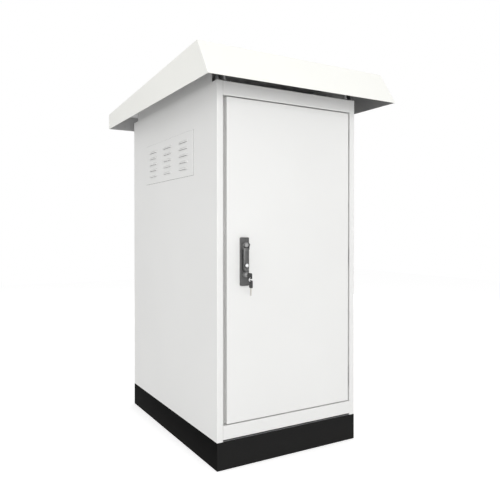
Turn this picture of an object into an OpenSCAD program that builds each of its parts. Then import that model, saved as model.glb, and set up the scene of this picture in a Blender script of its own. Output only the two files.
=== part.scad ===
// Roadside utility cabinet: a folded sheet-steel outdoor enclosure on a black plinth, under a
// raised rain roof, with one flush door, a swing-handle rod lock and 19-inch mounting rails.
// Units are millimetres. +Z is up, the door faces -Y, and the origin is the centre of the
// plinth's footprint on the ground.

/* [Cabinet] */
// Outer width of the body
body_w = 600; // [560:5:800]
// Outer depth of the body
body_d = 860; // [760:5:1000]
// Height of the body without plinth and roof
body_h = 1224; // [1120:2:1500]
// Thickness of the body sheet
sheet = 1.5; // [1.2:0.1:2]
// Bend radius at the middle of the sheet
bend_r = 1.5; // [1.2:0.1:3]
// Width of the side panels' rear flanges
rear_flange_w = 38; // [30:1:45]
// Height of the turned edges of the top and floor sheets
tray_edge_h = 30; // [20:1:35]

/* [Plinth] */
// Height of the plinth
plinth_h = 96; // [60:1:200]
// Thickness of the plinth steel
plinth_sheet = 3; // [2:0.5:4]
// Width of the plinth's inward flanges
plinth_flange_w = 48; // [44:1:60]
// Diameter of the ground anchor holes
anchor_hole_d = 14; // [10:1:16]
// Distance of the anchor holes from the outer faces
anchor_inset = 26; // [22:1:28]

/* [Front frame] */
// Face width of the two front posts
post_w = 23; // [18:1:30]
// Face height of the top rail
top_rail_h = 48; // [35:1:60]
// Face height of the bottom rail
bottom_rail_h = 48; // [35:1:60]
// Open slit between the plinth and the bottom rail
bottom_slit = 6; // [4:1:14]
// Depth of the door rebate
rebate_d = 26; // [25:0.5:30]
// Width of the land that the door seal closes on
land_w = 46; // [45:1:54]

/* [Door] */
// Depth of the door pan
door_t = 22; // [20:0.5:22]
// Gap beside the door at the lock side
gap_lock = 14.5; // [10:0.5:16]
// Gap beside the door at the hinge side
gap_hinge = 6.5; // [5:0.5:8]
// Gap above and below the door
gap_ends = 4; // [3:0.5:6]
// Width of the pan's inner lip
lip_w = 30; // [29:1:34]
// Distance of the seal from the door's edge
seal_inset = 16; // [15:0.5:17]
// Width of the seal
seal_w = 12; // [8:1:12]
// Height of a door stiffener
stiffener_h = 60; // [50:2:80]
// Distance of a stiffener from the outer hinge beside it
stiffener_offset = 75; // [75:1:120]

/* [Hinges] */
// Height of a hinge
hinge_h = 60; // [50:2:80]
// Distance of the outer hinges from the door's ends
hinge_end = 93.5; // [75:0.5:120]
// Distance of the hinge axis from the door's edge
hinge_in = 9.5; // [9:0.5:10]
// Depth of the hinge axis behind the door's face
hinge_depth = 10; // [9.5:0.5:10.5]
// Diameter of a hinge pin
hinge_pin_d = 6; // [5:0.5:7]
// Outer diameter of a hinge knuckle
knuckle_d = 12; // [11:0.5:12.5]

/* [Lock] */
// Distance of the lock's middle from the door's edge
lock_in = 65.5; // [60:0.5:80]
// Height of the lock plate's middle above the body's foot
lock_z = 611; // [500:1:700]
// Width of the lock plate
plate_w = 32; // [28:1:36]
// Height of the lock plate
plate_h = 167; // [160:1:180]
// Height of the lock plate above the door
plate_t = 9; // [6:0.5:10]
// Width of the lever
lever_w = 20; // [18:1:22]
// Thickness of the lever
lever_t = 12; // [12:0.5:14]
// Length of the lever below its pivot
lever_l = 91; // [86:1:92]
// Distance of the pivot below the top of the plate
pivot_drop = 26; // [22:1:28]
// Distance of the key below the pivot
key_drop = 102; // [102:1:106]
// Distance by which the key plug stands out of the plate
plug_out = 12; // [8:1:13]
// Distance of the key ring's hole from the lever's back
key_reach = 39; // [36:1:42]
// Radius of the key ring
ring_r = 7; // [6:0.5:9]
// Length of the hanging key's blade
spare_blade = 27; // [24:1:32]
// Radius at which the cam's pins drive the rods
cam_r = 14; // [12:0.5:15]
// Width of a locking rod
rod_w = 16; // [14:1:16]
// Thickness of a locking rod
rod_t = 3; // [2:0.5:3]

/* [Roof] */
// Overhang of the roof at each side
roof_side = 94; // [60:1:110]
// Overhang of the roof's lower front edge
roof_front = 125; // [90:1:150]
// Overhang of the roof at the rear
roof_rear = 87; // [60:1:110]
// Distance of the roof's lower edge below the body's top
roof_drop = 22; // [5:1:30]
// Height of the roof's front
roof_front_h = 125; // [110:1:150]
// Height of the roof's rear skirt
roof_rear_h = 68; // [62:1:90]
// Distance by which the front face leans back
roof_lean = 80; // [50:1:90]
// Thickness of the roof sheet
roof_sheet = 2; // [1.5:0.1:3]
// Distance of the side rails from the body's front and rear faces
roof_rail_inset = 45; // [40:1:60]
// Distance of the side rails from the body's side faces
roof_rail_in = 3; // [2:0.5:8]
// Width of a side rail's foot
roof_rail_foot = 24; // [20:1:30]
// Thickness of a side rail
roof_rail_t = 2; // [1.5:0.1:3]
// Width of a roof bracket
bracket_w = 26; // [20:1:26]
// Length of a roof bracket's feet
bracket_l = 32; // [28:1:34]
// Thickness of a roof bracket
bracket_t = 3; // [2:0.5:4]
// Distance of the roof bolts from the body's side faces
roof_bolt_in = 34; // [32:1:44]
// Distance of the front roof bolts behind the body's front
roof_bolt_front = 14; // [13:0.5:15]
// Distance of the rear roof bolts before the body's rear
roof_bolt_rear = 24; // [20:1:60]
// Diameter of a roof bolt
roof_bolt_d = 8; // [6:1:10]

/* [Floor and rear] */
// Width of the gland plate
gland_w = 360; // [300:5:400]
// Depth of the gland plate
gland_d = 240; // [200:5:300]
// Overlap of the gland plate on the floor sheet
gland_lap = 20; // [18:1:26]
// Thickness of the gland plate
gland_t = 2; // [1.5:0.1:3]
// Distance of the gland plate's middle behind the body's middle
gland_y = 120; // [0:5:150]
// Distance of the rear cover's edges from the body's edges
rear_cover_edge = 14; // [10:1:16]
// Distance of the outer rear screws from the body's ends
rear_screw_end = 80; // [60:5:120]
// Distance of the plinth bolts from the body's side faces
plinth_bolt_x = 36; // [34:1:38]
// Distance of the plinth bolts from the body's front and rear faces
plinth_bolt_y = 120; // [100:5:160]
// Diameter of a plinth bolt
plinth_bolt_d = 10; // [8:1:12]

/* [Earth bar] */
// Length of the earth bar
earth_l = 260; // [200:5:300]
// Height of the earth bar's section
earth_h = 25; // [20:1:30]
// Thickness of the earth bar
earth_t = 5; // [4:0.5:6]
// Height of the earth bar's middle above the body's foot
earth_up = 70; // [65:1:90]
// Length of the insulating posts
earth_post_l = 30; // [20:1:40]
// Diameter of the insulating posts
earth_post_d = 18; // [14:1:22]
// Distance between the earth bar's holes
earth_pitch = 24; // [18:1:26]

/* [Vents] */
// Width of a louvre plate
vent_w = 500; // [480:5:600]
// Height of a louvre plate
vent_h = 166; // [160:2:200]
// Distance of a louvre plate's middle below the body's top
vent_drop = 220; // [200:5:320]
// Distance of a louvre plate's middle behind the body's middle
vent_y = 8; // [0:1:20]
// Rim of a louvre plate that lies on the side panel
vent_rim = 18; // [12:1:24]
// Length of a louvre
louvre_l = 84; // [60:1:95]
// Distance between louvre columns
louvre_pitch_y = 160; // [150:1:165]
// Distance between louvre rows
louvre_pitch_z = 25.5; // [24:0.5:28]
// Height of a louvre above its plate
louvre_out = 5; // [4:0.5:5.5]
// Thickness of a louvre plate
vent_sheet = 2; // [1.2:0.1:2.5]
// Thickness of a filter mat
filter_t = 10; // [6:1:15]

/* [Mounting rails] */
// Distance of the mounting rails' inner edges from the body's sides
rack_side = 75; // [72:1:85]
// Distance of the front rails behind the body's front
rack_front = 80; // [75:1:120]
// Distance of the rear rails before the body's rear
rack_rear = 130; // [80:5:250]
// Height of the body that the mounting rails leave free
rack_room = 240; // [230:5:320]
// Face width of a mounting rail
rack_flange = 34; // [30:1:36]
// Depth of a mounting rail
rack_return = 40; // [30:1:50]
// Height of a depth rail
depth_rail_h = 40; // [30:1:50]
// Thickness of the rail sheet
rack_sheet = 2; // [1.5:0.1:2.5]

/* [Hidden] */
$fn = 48;
rack_u = 44.45;
rack_hole = 9.5;
rack_hole_offset = 8.1;
rack_hole_step = 15.875;
louvre_cols = 3;
louvre_rows = 5;
clear = 0.3;
fit = 0.08;
eps = 0.01;

hw = body_w / 2;
hd = body_d / 2;
z0 = plinth_h;
z1 = plinth_h + body_h;
front_y = -hd;
inner_w = hw - sheet;
post_x = hw - post_w;
land_x = post_x - land_w;
land_y = front_y + rebate_d;
top_rail_z = z1 - top_rail_h;
bottom_rail_z = z0 + bottom_slit + bottom_rail_h;
top_land_z = top_rail_z - land_w;
bottom_land_z = bottom_rail_z + land_w;
rear_x = hw - rear_flange_w;

door_x0 = -post_x + gap_lock;
door_x1 = post_x - gap_hinge;
door_z0 = bottom_rail_z + gap_ends;
door_z1 = top_rail_z - gap_ends;
door_mid_z = (door_z0 + door_z1) / 2;
door_back_y = front_y + door_t;
door_skin_y = front_y + sheet;
pan_r = bend_r + sheet / 2;

axis_x = door_x1 - hinge_in;
axis_y = front_y + hinge_depth;
hinge_spread = (door_z1 - door_z0) / 2 - hinge_end;
hinge_zs = [for (k = [-1, 0, 1]) door_mid_z + k * hinge_spread];
knuckle_h = hinge_h / 3;
leaf_t = 4;
leaf_l = 37;
hinge_foot_t = 3;
hinge_foot_in = 4;
hinge_arm_t = 6;
slot_room = 6;
knuckle_r = knuckle_d / 2;
pin_head_h = 2;
pin_tail = 3;
stiffener_foot = 14;
stiffener_end = 20;

lock_x = door_x0 + lock_in;
lock_mid_z = z0 + lock_z;
plate_y = front_y - plate_t;
pivot_z = lock_mid_z + plate_h / 2 - pivot_drop;
key_z = pivot_z - key_drop;
lever_gap = 1;
lever_back_y = plate_y - lever_gap;
lever_front_y = lever_back_y - lever_t;
lift_in = 7;
lift_y = lever_back_y - lift_in;
lever_end_r = 5.5;
lever_crown_r = 26;
plate_r = 4;
plate_rim = 3;
dish_d = 2;
boss_wall = 3;
housing_in = 19;
housing_side = 3.5;
housing_end = 9;
housing_back_y = front_y + housing_in;
housing_w = plate_w - 2 * housing_side;
housing_h = plate_h - 2 * housing_end;
strap_t = 2;
strap_w = plate_w / 2 + 10;
spindle_d = 12;
knob_r = 9;
cheek_t = 3;
cheek_x = knob_r + clear;
lift_pin_d = 5;
cam_t = 3;
cam_rim = 5;
cam_back_y = land_y + 5;
rod_y0 = cam_back_y + clear;
pin_tip_y = cam_back_y + rod_t + 1.5;
cam_pin_d = 5;
pin_slack = 0.8;
rod_x = cam_r * (1 + cos(45)) / 2;
pin_x = cam_r * cos(45);
rod_tip_gap = 1.5;
guide_wall = 2.5;
guide_h = 24;
plug_d = 14;
plug_dome_r = 10;
plug_dome_h = 5;
button_d = 14;
button_in = 5;
button_out = 2;
button_drop = 70;
key_t = 2;
key_w = 8;
key_room = 0.2;
key_hole_drop = 7;
key_in = 6;
bow_t = 3.5;
bow_r = 5;
bow_hole_in = 6;
bow_out = 26;
bow_h = 20;
ring_wire = 2;
ring_hole_d = 5;
ring_sag = ring_r - sqrt(ring_r * ring_r - bow_t * bow_t / 4);
ring_drop = (ring_hole_d - ring_wire) / 2 - ring_sag - clear;
ring_hang = (ring_hole_d - ring_wire) / 2 - ring_sag - clear / 2;
key_hole_y = lever_back_y - key_reach;
key_hole_z = key_z - key_hole_drop;
bow_y = key_hole_y - bow_hole_in + bow_out / 2;
bow_z = key_hole_z - bow_hole_in + bow_h / 2;

roof_z0 = z1 - roof_drop;
roof_x = hw + roof_side;
roof_fall = (roof_front_h - roof_rear_h) / (body_d + roof_rear + roof_front - roof_lean);
vent_z = z1 - vent_drop;
vent_hole_w = vent_w - 2 * vent_rim;
vent_hole_h = vent_h - 2 * vent_rim;
filter_edge = 12;
louvre_r = 9;
louvre_wall = 1.2;
rack_x = hw - rack_side;
rack_units = floor((body_h - rack_room) / rack_u);
rack_end = 10;
rack_foot = 95;
rack_z0 = z0 + rack_foot;
rack_y0 = front_y + rack_front;
rack_y1 = hd - rack_rear;
rack_h = rack_units * rack_u + 2 * rack_end;
screw_d = 5;
screw_hole_d = 5.4;
screw_head_d = 10;
screw_head_h = 3;
screw_out = 8;
bolt_room = 0.6;
hex_w = 1.7;
hex_h = 0.75;
thread_out = 2;

floor_front = 2;
edge_trim = 5;
rear_screw_rows = 6;
top_return = 50;
top_front_y = front_y + top_return;
rear_tongue_y = hd - sheet - bend_r;
lower_depth_z = rack_z0 + depth_rail_h;
upper_depth_z = vent_z - vent_hole_h / 2 - filter_edge - 1.25 * depth_rail_h;
earth_z = z0 + earth_up;
earth_holes = 8;
earth_hole_d = 8.5;
upper_stiffener_z = hinge_zs[2] - stiffener_offset;
lower_stiffener_z = hinge_zs[0] + stiffener_offset;

function unit(v) = v / norm(v);
function across(d, t) = [d.x == 0 ? t / 2 : 0, d.y == 0 ? t / 2 : 0];

// Section of a folded sheet: a square-cornered middle line with round bends
module folded(path, t = sheet, r = bend_r) {
    last = len(path) - 2;
    for (i = [0 : last]) {
        d = unit(path[i + 1] - path[i]);
        a = path[i] + (i == 0 ? 0 : r) * d;
        b = path[i + 1] - (i == last ? 0 : r) * d;
        low = [min(a.x, b.x), min(a.y, b.y)] - across(d, t);
        high = [max(a.x, b.x), max(a.y, b.y)] + across(d, t);
        translate(low) square(high - low);
    }
    for (i = [1 : last]) {
        d0 = unit(path[i] - path[i - 1]);
        d1 = unit(path[i + 1] - path[i]);
        q = d0 - d1;
        reach = r + t;
        translate(path[i] - r * q) intersection() {
            difference() { circle(r + t / 2); circle(r - t / 2); }
            translate([min(0, q.x) * reach, min(0, q.y) * reach]) square(reach);
        }
    }
}

// Box between two corners
module block(low, high) translate(low) cube(high - low);

// Extrudes a section drawn in Y and Z along X
module along_x(x0, x1) translate([x0, 0, 0]) rotate([90, 0, 90]) linear_extrude(x1 - x0) children();

// Extrudes a section drawn in X and Z along Y
module along_y(y0, y1) translate([0, y1, 0]) rotate([90, 0, 0]) linear_extrude(y1 - y0) children();

module rod_y(x, z, y0, y1, d) translate([x, y0, z]) rotate([-90, 0, 0]) cylinder(d = d, h = y1 - y0);

module rounded_rect(w, h, r) {
    square([w - 2 * r, h], center = true);
    square([w, h - 2 * r], center = true);
    for (x = [-1, 1], y = [-1, 1]) translate([x * (w / 2 - r), y * (h / 2 - r)]) circle(r);
}

// Head or nut of a bolt
module hexagon(d) cylinder(d = hex_w * d, h = hex_h * d, $fn = 6);

// Plinth: four C-sections welded at the corners
module plinth() {
    opening = [body_w - 2 * plinth_flange_w, body_d - 2 * plinth_flange_w];
    color("#1c1c1e") difference() {
        block([-hw, -hd, 0], [hw, hd, plinth_h]);
        block([-hw, -hd, 0] + plinth_sheet * [1, 1, 1], [hw, hd, plinth_h] - plinth_sheet * [1, 1, 1]);
        translate([-opening.x / 2, -opening.y / 2, -eps]) cube([opening.x, opening.y, plinth_h + 2 * eps]);
        anchor_places() translate([0, 0, -eps]) cylinder(d = anchor_hole_d, h = plinth_sheet + 2 * eps);
        plinth_bolt_places() translate([0, 0, z0 - plinth_sheet - eps])
            cylinder(d = plinth_bolt_d + bolt_room, h = plinth_sheet + 2 * eps);
    }
}

module anchor_places() {
    for (x = [-1, 1], y = [-1, 1])
        translate([x * (hw - anchor_inset), y * (hd - anchor_inset), 0]) children();
}

module plinth_bolt_places() {
    for (x = [-1, 1], y = [-1, 1])
        translate([x * (hw - plinth_bolt_x), y * (hd - plinth_bolt_y), 0]) children();
}

module plinth_bolts() {
    nut_z = z0 - plinth_sheet - hex_h * plinth_bolt_d;
    color("#a9abad") plinth_bolt_places() {
        translate([0, 0, z0 + sheet]) hexagon(plinth_bolt_d);
        translate([0, 0, nut_z - thread_out])
            cylinder(d = plinth_bolt_d, h = z0 + sheet - nut_z + thread_out + eps);
        translate([0, 0, nut_z]) hexagon(plinth_bolt_d);
    }
}

// Floor sheet, with its edges turned up inside the side and rear panels
module gland_screw_places() {
    inset = gland_lap / 2;
    for (x = [-1, 0, 1], y = [-1, 1])
        translate([x * (gland_w / 2 - inset), gland_y + y * (gland_d / 2 - inset), 0]) children();
}

module gland_outline(lap = 0) {
    size = [gland_w - 2 * lap, gland_d - 2 * lap];
    translate([-size.x / 2, gland_y - size.y / 2]) square(size);
}

// Turned edges of a floor or top sheet along the two sides
module tray_sides(y0, low, high) {
    for (x = [-inner_w, inner_w - sheet]) block([x, y0, low], [x + sheet, hd - edge_trim, high]);
}

module floor_pan() {
    color("#e3e4e2") difference() {
        union() {
            block([-inner_w, land_y + sheet, z0], [inner_w, rear_tongue_y, z0 + sheet]);
            block([-post_x + clear, front_y + floor_front, z0],
                [post_x - clear, land_y + sheet + eps, z0 + sheet]);
            tray_sides(land_y + edge_trim, z0, z0 + tray_edge_h);
            block([-rear_x + clear, rear_tongue_y - eps, z0], [rear_x - clear, hd, z0 + sheet]);
            block([-rear_x + clear, hd - sheet, z0], [rear_x - clear, hd, z0 + tray_edge_h]);
        }
        translate([0, 0, z0 - 1]) linear_extrude(sheet + 2) gland_outline(gland_lap);
        gland_screw_places() translate([0, 0, z0 - 1]) cylinder(d = screw_hole_d, h = sheet + 2);
        plinth_bolt_places() translate([0, 0, z0 - 1]) cylinder(d = plinth_bolt_d + bolt_room, h = sheet + 2);
        rear_screw_places() rear_screw_hole();
    }
}

module gland_plate() {
    color("#b9bbbc") difference() {
        translate([0, 0, z0 + sheet]) linear_extrude(gland_t) gland_outline();
        gland_screw_places() translate([0, 0, z0]) cylinder(d = screw_hole_d, h = sheet + gland_t + 1);
    }
}

module gland_plate_screws() {
    color("#a9abad") gland_screw_places() {
        translate([0, 0, z0 + sheet + gland_t]) cylinder(d = screw_head_d, h = screw_head_h);
        translate([0, 0, z0 - screw_out]) cylinder(d = screw_d, h = screw_out + sheet + gland_t + eps);
    }
}

// Side panel: outer wall, front post, door rebate and rear flange folded from one sheet
module side_section() {
    h = sheet / 2;
    folded([
        [-rear_x, hd - h], [-hw + h, hd - h], [-hw + h, -hd + h], [-post_x - h, -hd + h],
        [-post_x - h, land_y + h], [-land_x, land_y + h]
    ]);
}

module vent_hole(w, h) {
    block([-hw - 1, vent_y - w / 2, vent_z - h / 2], [-hw + sheet + 1, vent_y + w / 2, vent_z + h / 2]);
}

module left_side() {
    difference() {
        translate([0, 0, z0]) linear_extrude(body_h) side_section();
        vent_hole(vent_hole_w, vent_hole_h);
        rear_screw_places() rear_screw_hole();
        for (z = [z0 - 1, z1 - sheet - clear]) land_notch(z, sheet + clear + 1);
    }
}

// Notch at a land's end, for the sheet that passes there
module land_notch(z, h) {
    block([-post_x - 2 * sheet, land_y - sheet, z], [-land_x + 1, land_y + 2 * sheet, z + h]);
}

module left_side_panel() color("#e9e9e8") left_side();

module right_side_panel() color("#e9e9e8") mirror([1, 0, 0]) left_side();

// Rear panel: a flat cover screwed on the rear flanges
module rear_screw_places() {
    x = (hw - rear_cover_edge + rear_x) / 2;
    inset = (tray_edge_h + rear_cover_edge) / 2;
    step = (body_h - 2 * rear_screw_end) / (rear_screw_rows - 1);
    for (s = [-1, 1], i = [0 : rear_screw_rows - 1])
        translate([s * x, hd, z0 + rear_screw_end + i * step]) children();
    for (z = [z0 + inset, z1 - inset], s = [-1, 0, 1]) translate([s * 0.75 * rear_x, hd, z]) children();
}

module rear_screw_hole() translate([0, -6, 0]) rotate([-90, 0, 0]) cylinder(d = screw_hole_d, h = 12);

module rear_panel() {
    color("#e9e9e8") difference() {
        block([-hw + rear_cover_edge, hd, z0 + rear_cover_edge],
            [hw - rear_cover_edge, hd + sheet, z1 - rear_cover_edge]);
        rear_screw_places() rear_screw_hole();
    }
}

module rear_panel_screws() {
    color("#b4b6b8") rear_screw_places() rotate([-90, 0, 0]) {
        translate([0, 0, sheet]) cylinder(d = screw_head_d, h = screw_head_h);
        translate([0, 0, -screw_out]) cylinder(d = screw_d, h = screw_out + sheet + eps);
    }
}

// Top sheet under the roof, with its edges turned down
module top_panel() {
    color("#dfe0de") difference() {
        union() {
            block([-inner_w, top_front_y, z1 - sheet], [inner_w, rear_tongue_y, z1]);
            block([-rear_x + clear, rear_tongue_y - eps, z1 - sheet], [rear_x - clear, hd, z1]);
            tray_sides(top_front_y, z1 - tray_edge_h, z1);
            block([-rear_x + clear, hd - sheet, z1 - tray_edge_h], [rear_x - clear, hd, z1]);
        }
        rear_screw_places() rear_screw_hole();
        roof_bolt_places() translate([0, 0, z1 - sheet - 1])
            cylinder(d = roof_bolt_d + bolt_room, h = sheet + 2);
    }
}

// Top and bottom rails between the posts, each with a rebate and a seal land
module front_top_rail() {
    h = sheet / 2;
    color("#ecedeb") {
        difference() {
            along_x(-post_x, post_x) folded([
                [top_front_y, z1 - h], [front_y + h, z1 - h], [front_y + h, top_rail_z + h],
                [land_y - bend_r, top_rail_z + h]
            ]);
            roof_bolt_places() translate([0, 0, z1 - sheet - 1])
                cylinder(d = roof_bolt_d + bolt_room, h = sheet + 2);
        }
        along_x(-land_x, land_x) folded([
            [front_y + rebate_d / 2, top_rail_z + h], [land_y + h, top_rail_z + h], [land_y + h, top_land_z]
        ]);
    }
}

module front_bottom_rail() {
    h = sheet / 2;
    foot = z0 + bottom_slit;
    color("#ecedeb") {
        along_x(-post_x, post_x) folded([
            [land_y - bend_r, foot + h], [front_y + h, foot + h], [front_y + h, bottom_rail_z - h],
            [land_y - bend_r, bottom_rail_z - h]
        ]);
        along_x(-land_x, land_x) folded([
            [front_y + rebate_d / 2, bottom_rail_z - h], [land_y + h, bottom_rail_z - h],
            [land_y + h, bottom_land_z]
        ]);
    }
}

// Louvre plate: rows of pressed hoods, open at their lower edge
module louvre_places() {
    for (c = [0 : louvre_cols - 1], r = [0 : louvre_rows - 1])
        translate([-hw - vent_sheet, vent_y + (c - (louvre_cols - 1) / 2) * louvre_pitch_y,
            vent_z + (r - (louvre_rows - 1) / 2) * louvre_pitch_z - louvre_r / 2]) children();
}

module capsule(r) {
    l = louvre_l - 2 * louvre_r;
    translate([louvre_r - louvre_out, -l / 2, 0]) rotate([-90, 0, 0]) cylinder(r = r, h = l);
    for (s = [-1, 1]) translate([louvre_r - louvre_out, s * l / 2, 0]) sphere(r);
}

module upper_half(x0, x1) block([x0, -louvre_l, 0], [x1, louvre_l, 2 * louvre_r]);

module vent_plate() {
    difference() {
        block([-hw - vent_sheet, vent_y - vent_w / 2, vent_z - vent_h / 2],
            [-hw, vent_y + vent_w / 2, vent_z + vent_h / 2]);
        louvre_places() intersection() {
            capsule(louvre_r - louvre_wall);
            upper_half(-2 * louvre_r, 2 * louvre_r);
        }
    }
    louvre_places() intersection() {
        difference() { capsule(louvre_r); capsule(louvre_r - louvre_wall); }
        upper_half(-2 * louvre_r, 0);
    }
}

module left_vent_plate() color("#e6e6e6") vent_plate();

module right_vent_plate() color("#e6e6e6") mirror([1, 0, 0]) vent_plate();

// Filter mat behind each louvre plate, held by a folded frame
module filter_mat() {
    w = vent_hole_w - 2;
    h = vent_hole_h - 2;
    x = -hw + clear;
    block([x, vent_y - w / 2, vent_z - h / 2], [x + filter_t, vent_y + w / 2, vent_z + h / 2]);
}

module left_filter_mat() color("#4a4c4e") filter_mat();

module right_filter_mat() color("#4a4c4e") mirror([1, 0, 0]) filter_mat();

module filter_frame() {
    back = filter_t - sheet + clear;
    translate([-hw + sheet, vent_y, vent_z]) difference() {
        window(filter_edge, 0, back + sheet);
        window(0, -1, back);
        window(-filter_edge, -1, back + 2 * sheet);
    }
}

module window(edge, x0, x1) {
    w = vent_hole_w / 2 + edge;
    h = vent_hole_h / 2 + edge;
    block([x0, -w, -h], [x1, w, h]);
}

module left_filter_frame() color("#c9cbca") filter_frame();

module right_filter_frame() color("#c9cbca") mirror([1, 0, 0]) filter_frame();

// Rain roof: a hood with a leaning front, upright sides and a top that falls to the rear
module roof_profile(in = 0) {
    fall = roof_fall;
    slant = roof_front_h / roof_lean;
    side = in * sqrt(1 + 1 / (slant * slant));
    low_y = front_y - roof_front;
    high_y = low_y + roof_lean;
    drop = in * sqrt(1 + fall * fall);
    lean_y = function (z) low_y + side + (z - roof_z0) / slant;
    top_z = function (y) roof_z0 + roof_front_h - drop - (y - high_y) * fall;
    edge_y = (low_y + side + (roof_front_h - drop + high_y * fall) / slant) / (1 + fall / slant);
    rear_y = hd + roof_rear - in;
    base = roof_z0 - (in > 0 ? 1 : 0);
    polygon([[lean_y(base), base], [edge_y, top_z(edge_y)], [rear_y, top_z(rear_y)], [rear_y, base]]);
}

module roof_cover() {
    color("#f6f6f3") difference() {
        along_x(-roof_x, roof_x) roof_profile();
        along_x(-roof_x + roof_sheet, roof_x - roof_sheet) roof_profile(roof_sheet);
        roof_bolt_places() translate([0, 0, z1]) cylinder(d = roof_bolt_d + bolt_room, h = roof_front_h);
    }
}

function roof_under(y) = roof_z0 + roof_front_h - roof_sheet * sqrt(1 + roof_fall * roof_fall)
    - (y - front_y + roof_front - roof_lean) * roof_fall;

// Side rails that carry the roof on the body's top
module roof_rail() {
    y0 = front_y + roof_rail_inset;
    y1 = hd - roof_rail_inset;
    x = -hw + roof_rail_in;
    along_x(x, x + roof_rail_t)
        polygon([[y0, z1], [y1, z1], [y1, roof_under(y1) - clear], [y0, roof_under(y0) - clear]]);
    block([x, y0, z1], [x + roof_rail_foot, y1, z1 + roof_rail_t]);
}

module left_roof_rail() color("#b9bab8") roof_rail();

module right_roof_rail() color("#b9bab8") mirror([1, 0, 0]) roof_rail();

// Angle brackets that hold the roof at its four corners
module roof_bolt_places() {
    for (s = [-1, 1], y = [front_y + roof_bolt_front, hd - roof_bolt_rear])
        translate([s * (hw - roof_bolt_in), y, 0]) children();
}

module roof_bracket(s, y) {
    top = roof_under(y + bracket_w / 2) - clear;
    web_x = s * (bracket_l - bracket_t) / 2 - bracket_t / 2;
    translate([s * (hw - roof_bolt_in), y - bracket_w / 2, 0]) difference() {
        union() {
            for (z = [z1, top - bracket_t]) translate([-bracket_l / 2, 0, z])
                cube([bracket_l, bracket_w, bracket_t]);
            translate([web_x, 0, z1]) cube([bracket_t, bracket_w, top - z1]);
        }
        translate([0, bracket_w / 2, z1 - 1]) cylinder(d = roof_bolt_d + bolt_room, h = top - z1 + 2);
    }
}

module roof_brackets() {
    color("#9fa1a2") for (s = [-1, 1], y = [front_y + roof_bolt_front, hd - roof_bolt_rear])
        roof_bracket(s, y);
}

// Roof bolts: a low head on the roof, and nuts on the bracket and under the top sheet
module roof_bolt(y) {
    head_d = 2 * roof_bolt_d;
    nut_h = hex_h * roof_bolt_d;
    top = roof_under(y - head_d / 2) + roof_sheet;
    foot = z1 - sheet - nut_h;
    tip = foot - thread_out;
    translate([0, 0, tip]) cylinder(d = roof_bolt_d, h = top - tip + eps);
    translate([0, 0, top]) cylinder(d = head_d, h = nut_h);
    for (z = [z1 + bracket_t, foot]) translate([0, 0, z]) hexagon(roof_bolt_d);
}

module roof_bolts() {
    color("#c2c4c6") for (s = [-1, 1], y = [front_y + roof_bolt_front, hd - roof_bolt_rear])
        translate([s * (hw - roof_bolt_in), y, 0]) roof_bolt(y);
}

// 19-inch mounting rail: an angle with three square holes in each height unit
module rack_rail() {
    h = rack_sheet / 2;
    hole_z = rack_z0 + rack_end + rack_u / 2;
    difference() {
        translate([0, 0, rack_z0]) linear_extrude(rack_h) folded([
            [rack_x, h], [rack_x + rack_flange - h, h], [rack_x + rack_flange - h, rack_return]
        ], rack_sheet, bend_r);
        for (u = [0 : rack_units - 1], k = [-1, 0, 1])
            translate([rack_x + rack_hole_offset, 0, hole_z + u * rack_u + k * rack_hole_step])
                cube([rack_hole, 4 * rack_sheet, rack_hole], center = true);
    }
}

module front_left_rack_rail() color("#aeb1b3") translate([0, rack_y0, 0]) mirror([1, 0, 0]) rack_rail();

module front_right_rack_rail() color("#aeb1b3") translate([0, rack_y0, 0]) rack_rail();

module rear_left_rack_rail() {
    color("#aeb1b3") translate([0, rack_y1, 0]) mirror([1, 0, 0]) mirror([0, 1, 0]) rack_rail();
}

module rear_right_rack_rail() color("#aeb1b3") translate([0, rack_y1, 0]) mirror([0, 1, 0]) rack_rail();

// Depth rail: a channel on the side panel that the mounting rails are bolted to
module depth_rail(z) {
    x0 = rack_x + rack_flange;
    h = rack_sheet / 2;
    along_y(rack_y0 - rack_end, rack_y1 + rack_end) translate([0, z]) folded([
        [inner_w, h], [x0 + h, h], [x0 + h, depth_rail_h - h], [inner_w, depth_rail_h - h]
    ], rack_sheet, bend_r);
}

module lower_left_depth_rail() color("#aeb1b3") mirror([1, 0, 0]) depth_rail(lower_depth_z);

module lower_right_depth_rail() color("#aeb1b3") depth_rail(lower_depth_z);

module upper_left_depth_rail() color("#aeb1b3") mirror([1, 0, 0]) depth_rail(upper_depth_z);

module upper_right_depth_rail() color("#aeb1b3") depth_rail(upper_depth_z);

// Earth bar on two insulating posts at the foot of the rear panel
module earth_bar() {
    y = hd - earth_post_l;
    color("#b8733a") difference() {
        block([-earth_l / 2, y - earth_t, earth_z - earth_h / 2], [earth_l / 2, y, earth_z + earth_h / 2]);
        for (i = [0 : earth_holes - 1])
            rod_y((i - (earth_holes - 1) / 2) * earth_pitch, earth_z, y - earth_t - 1, y + 1, earth_hole_d);
    }
}

module earth_bar_posts() {
    color("#8a2f26") for (s = [-1, 1])
        rod_y(s * (earth_l / 2 - earth_post_d * 0.75), earth_z, hd - earth_post_l, hd, earth_post_d);
}

// Hinge leaf on the frame: a foot on the land, an arm through the door's slot and one knuckle
module frame_hinge(z) {
    arm_h = knuckle_h - 2 * clear;
    foot_y = land_y - hinge_foot_t;
    color("#8e9193") translate([0, 0, z]) difference() {
        union() {
            block([axis_x - hinge_foot_in, foot_y, -hinge_h / 2], [post_x - bend_r, land_y, hinge_h / 2]);
            block([axis_x - hinge_arm_t / 2, axis_y, -arm_h / 2],
                [axis_x + hinge_arm_t / 2, foot_y + eps, arm_h / 2]);
            translate([axis_x, axis_y, -arm_h / 2]) cylinder(r = knuckle_r, h = arm_h);
        }
        translate([axis_x, axis_y, -hinge_h]) cylinder(d = hinge_pin_d, h = 2 * hinge_h);
    }
}

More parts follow.
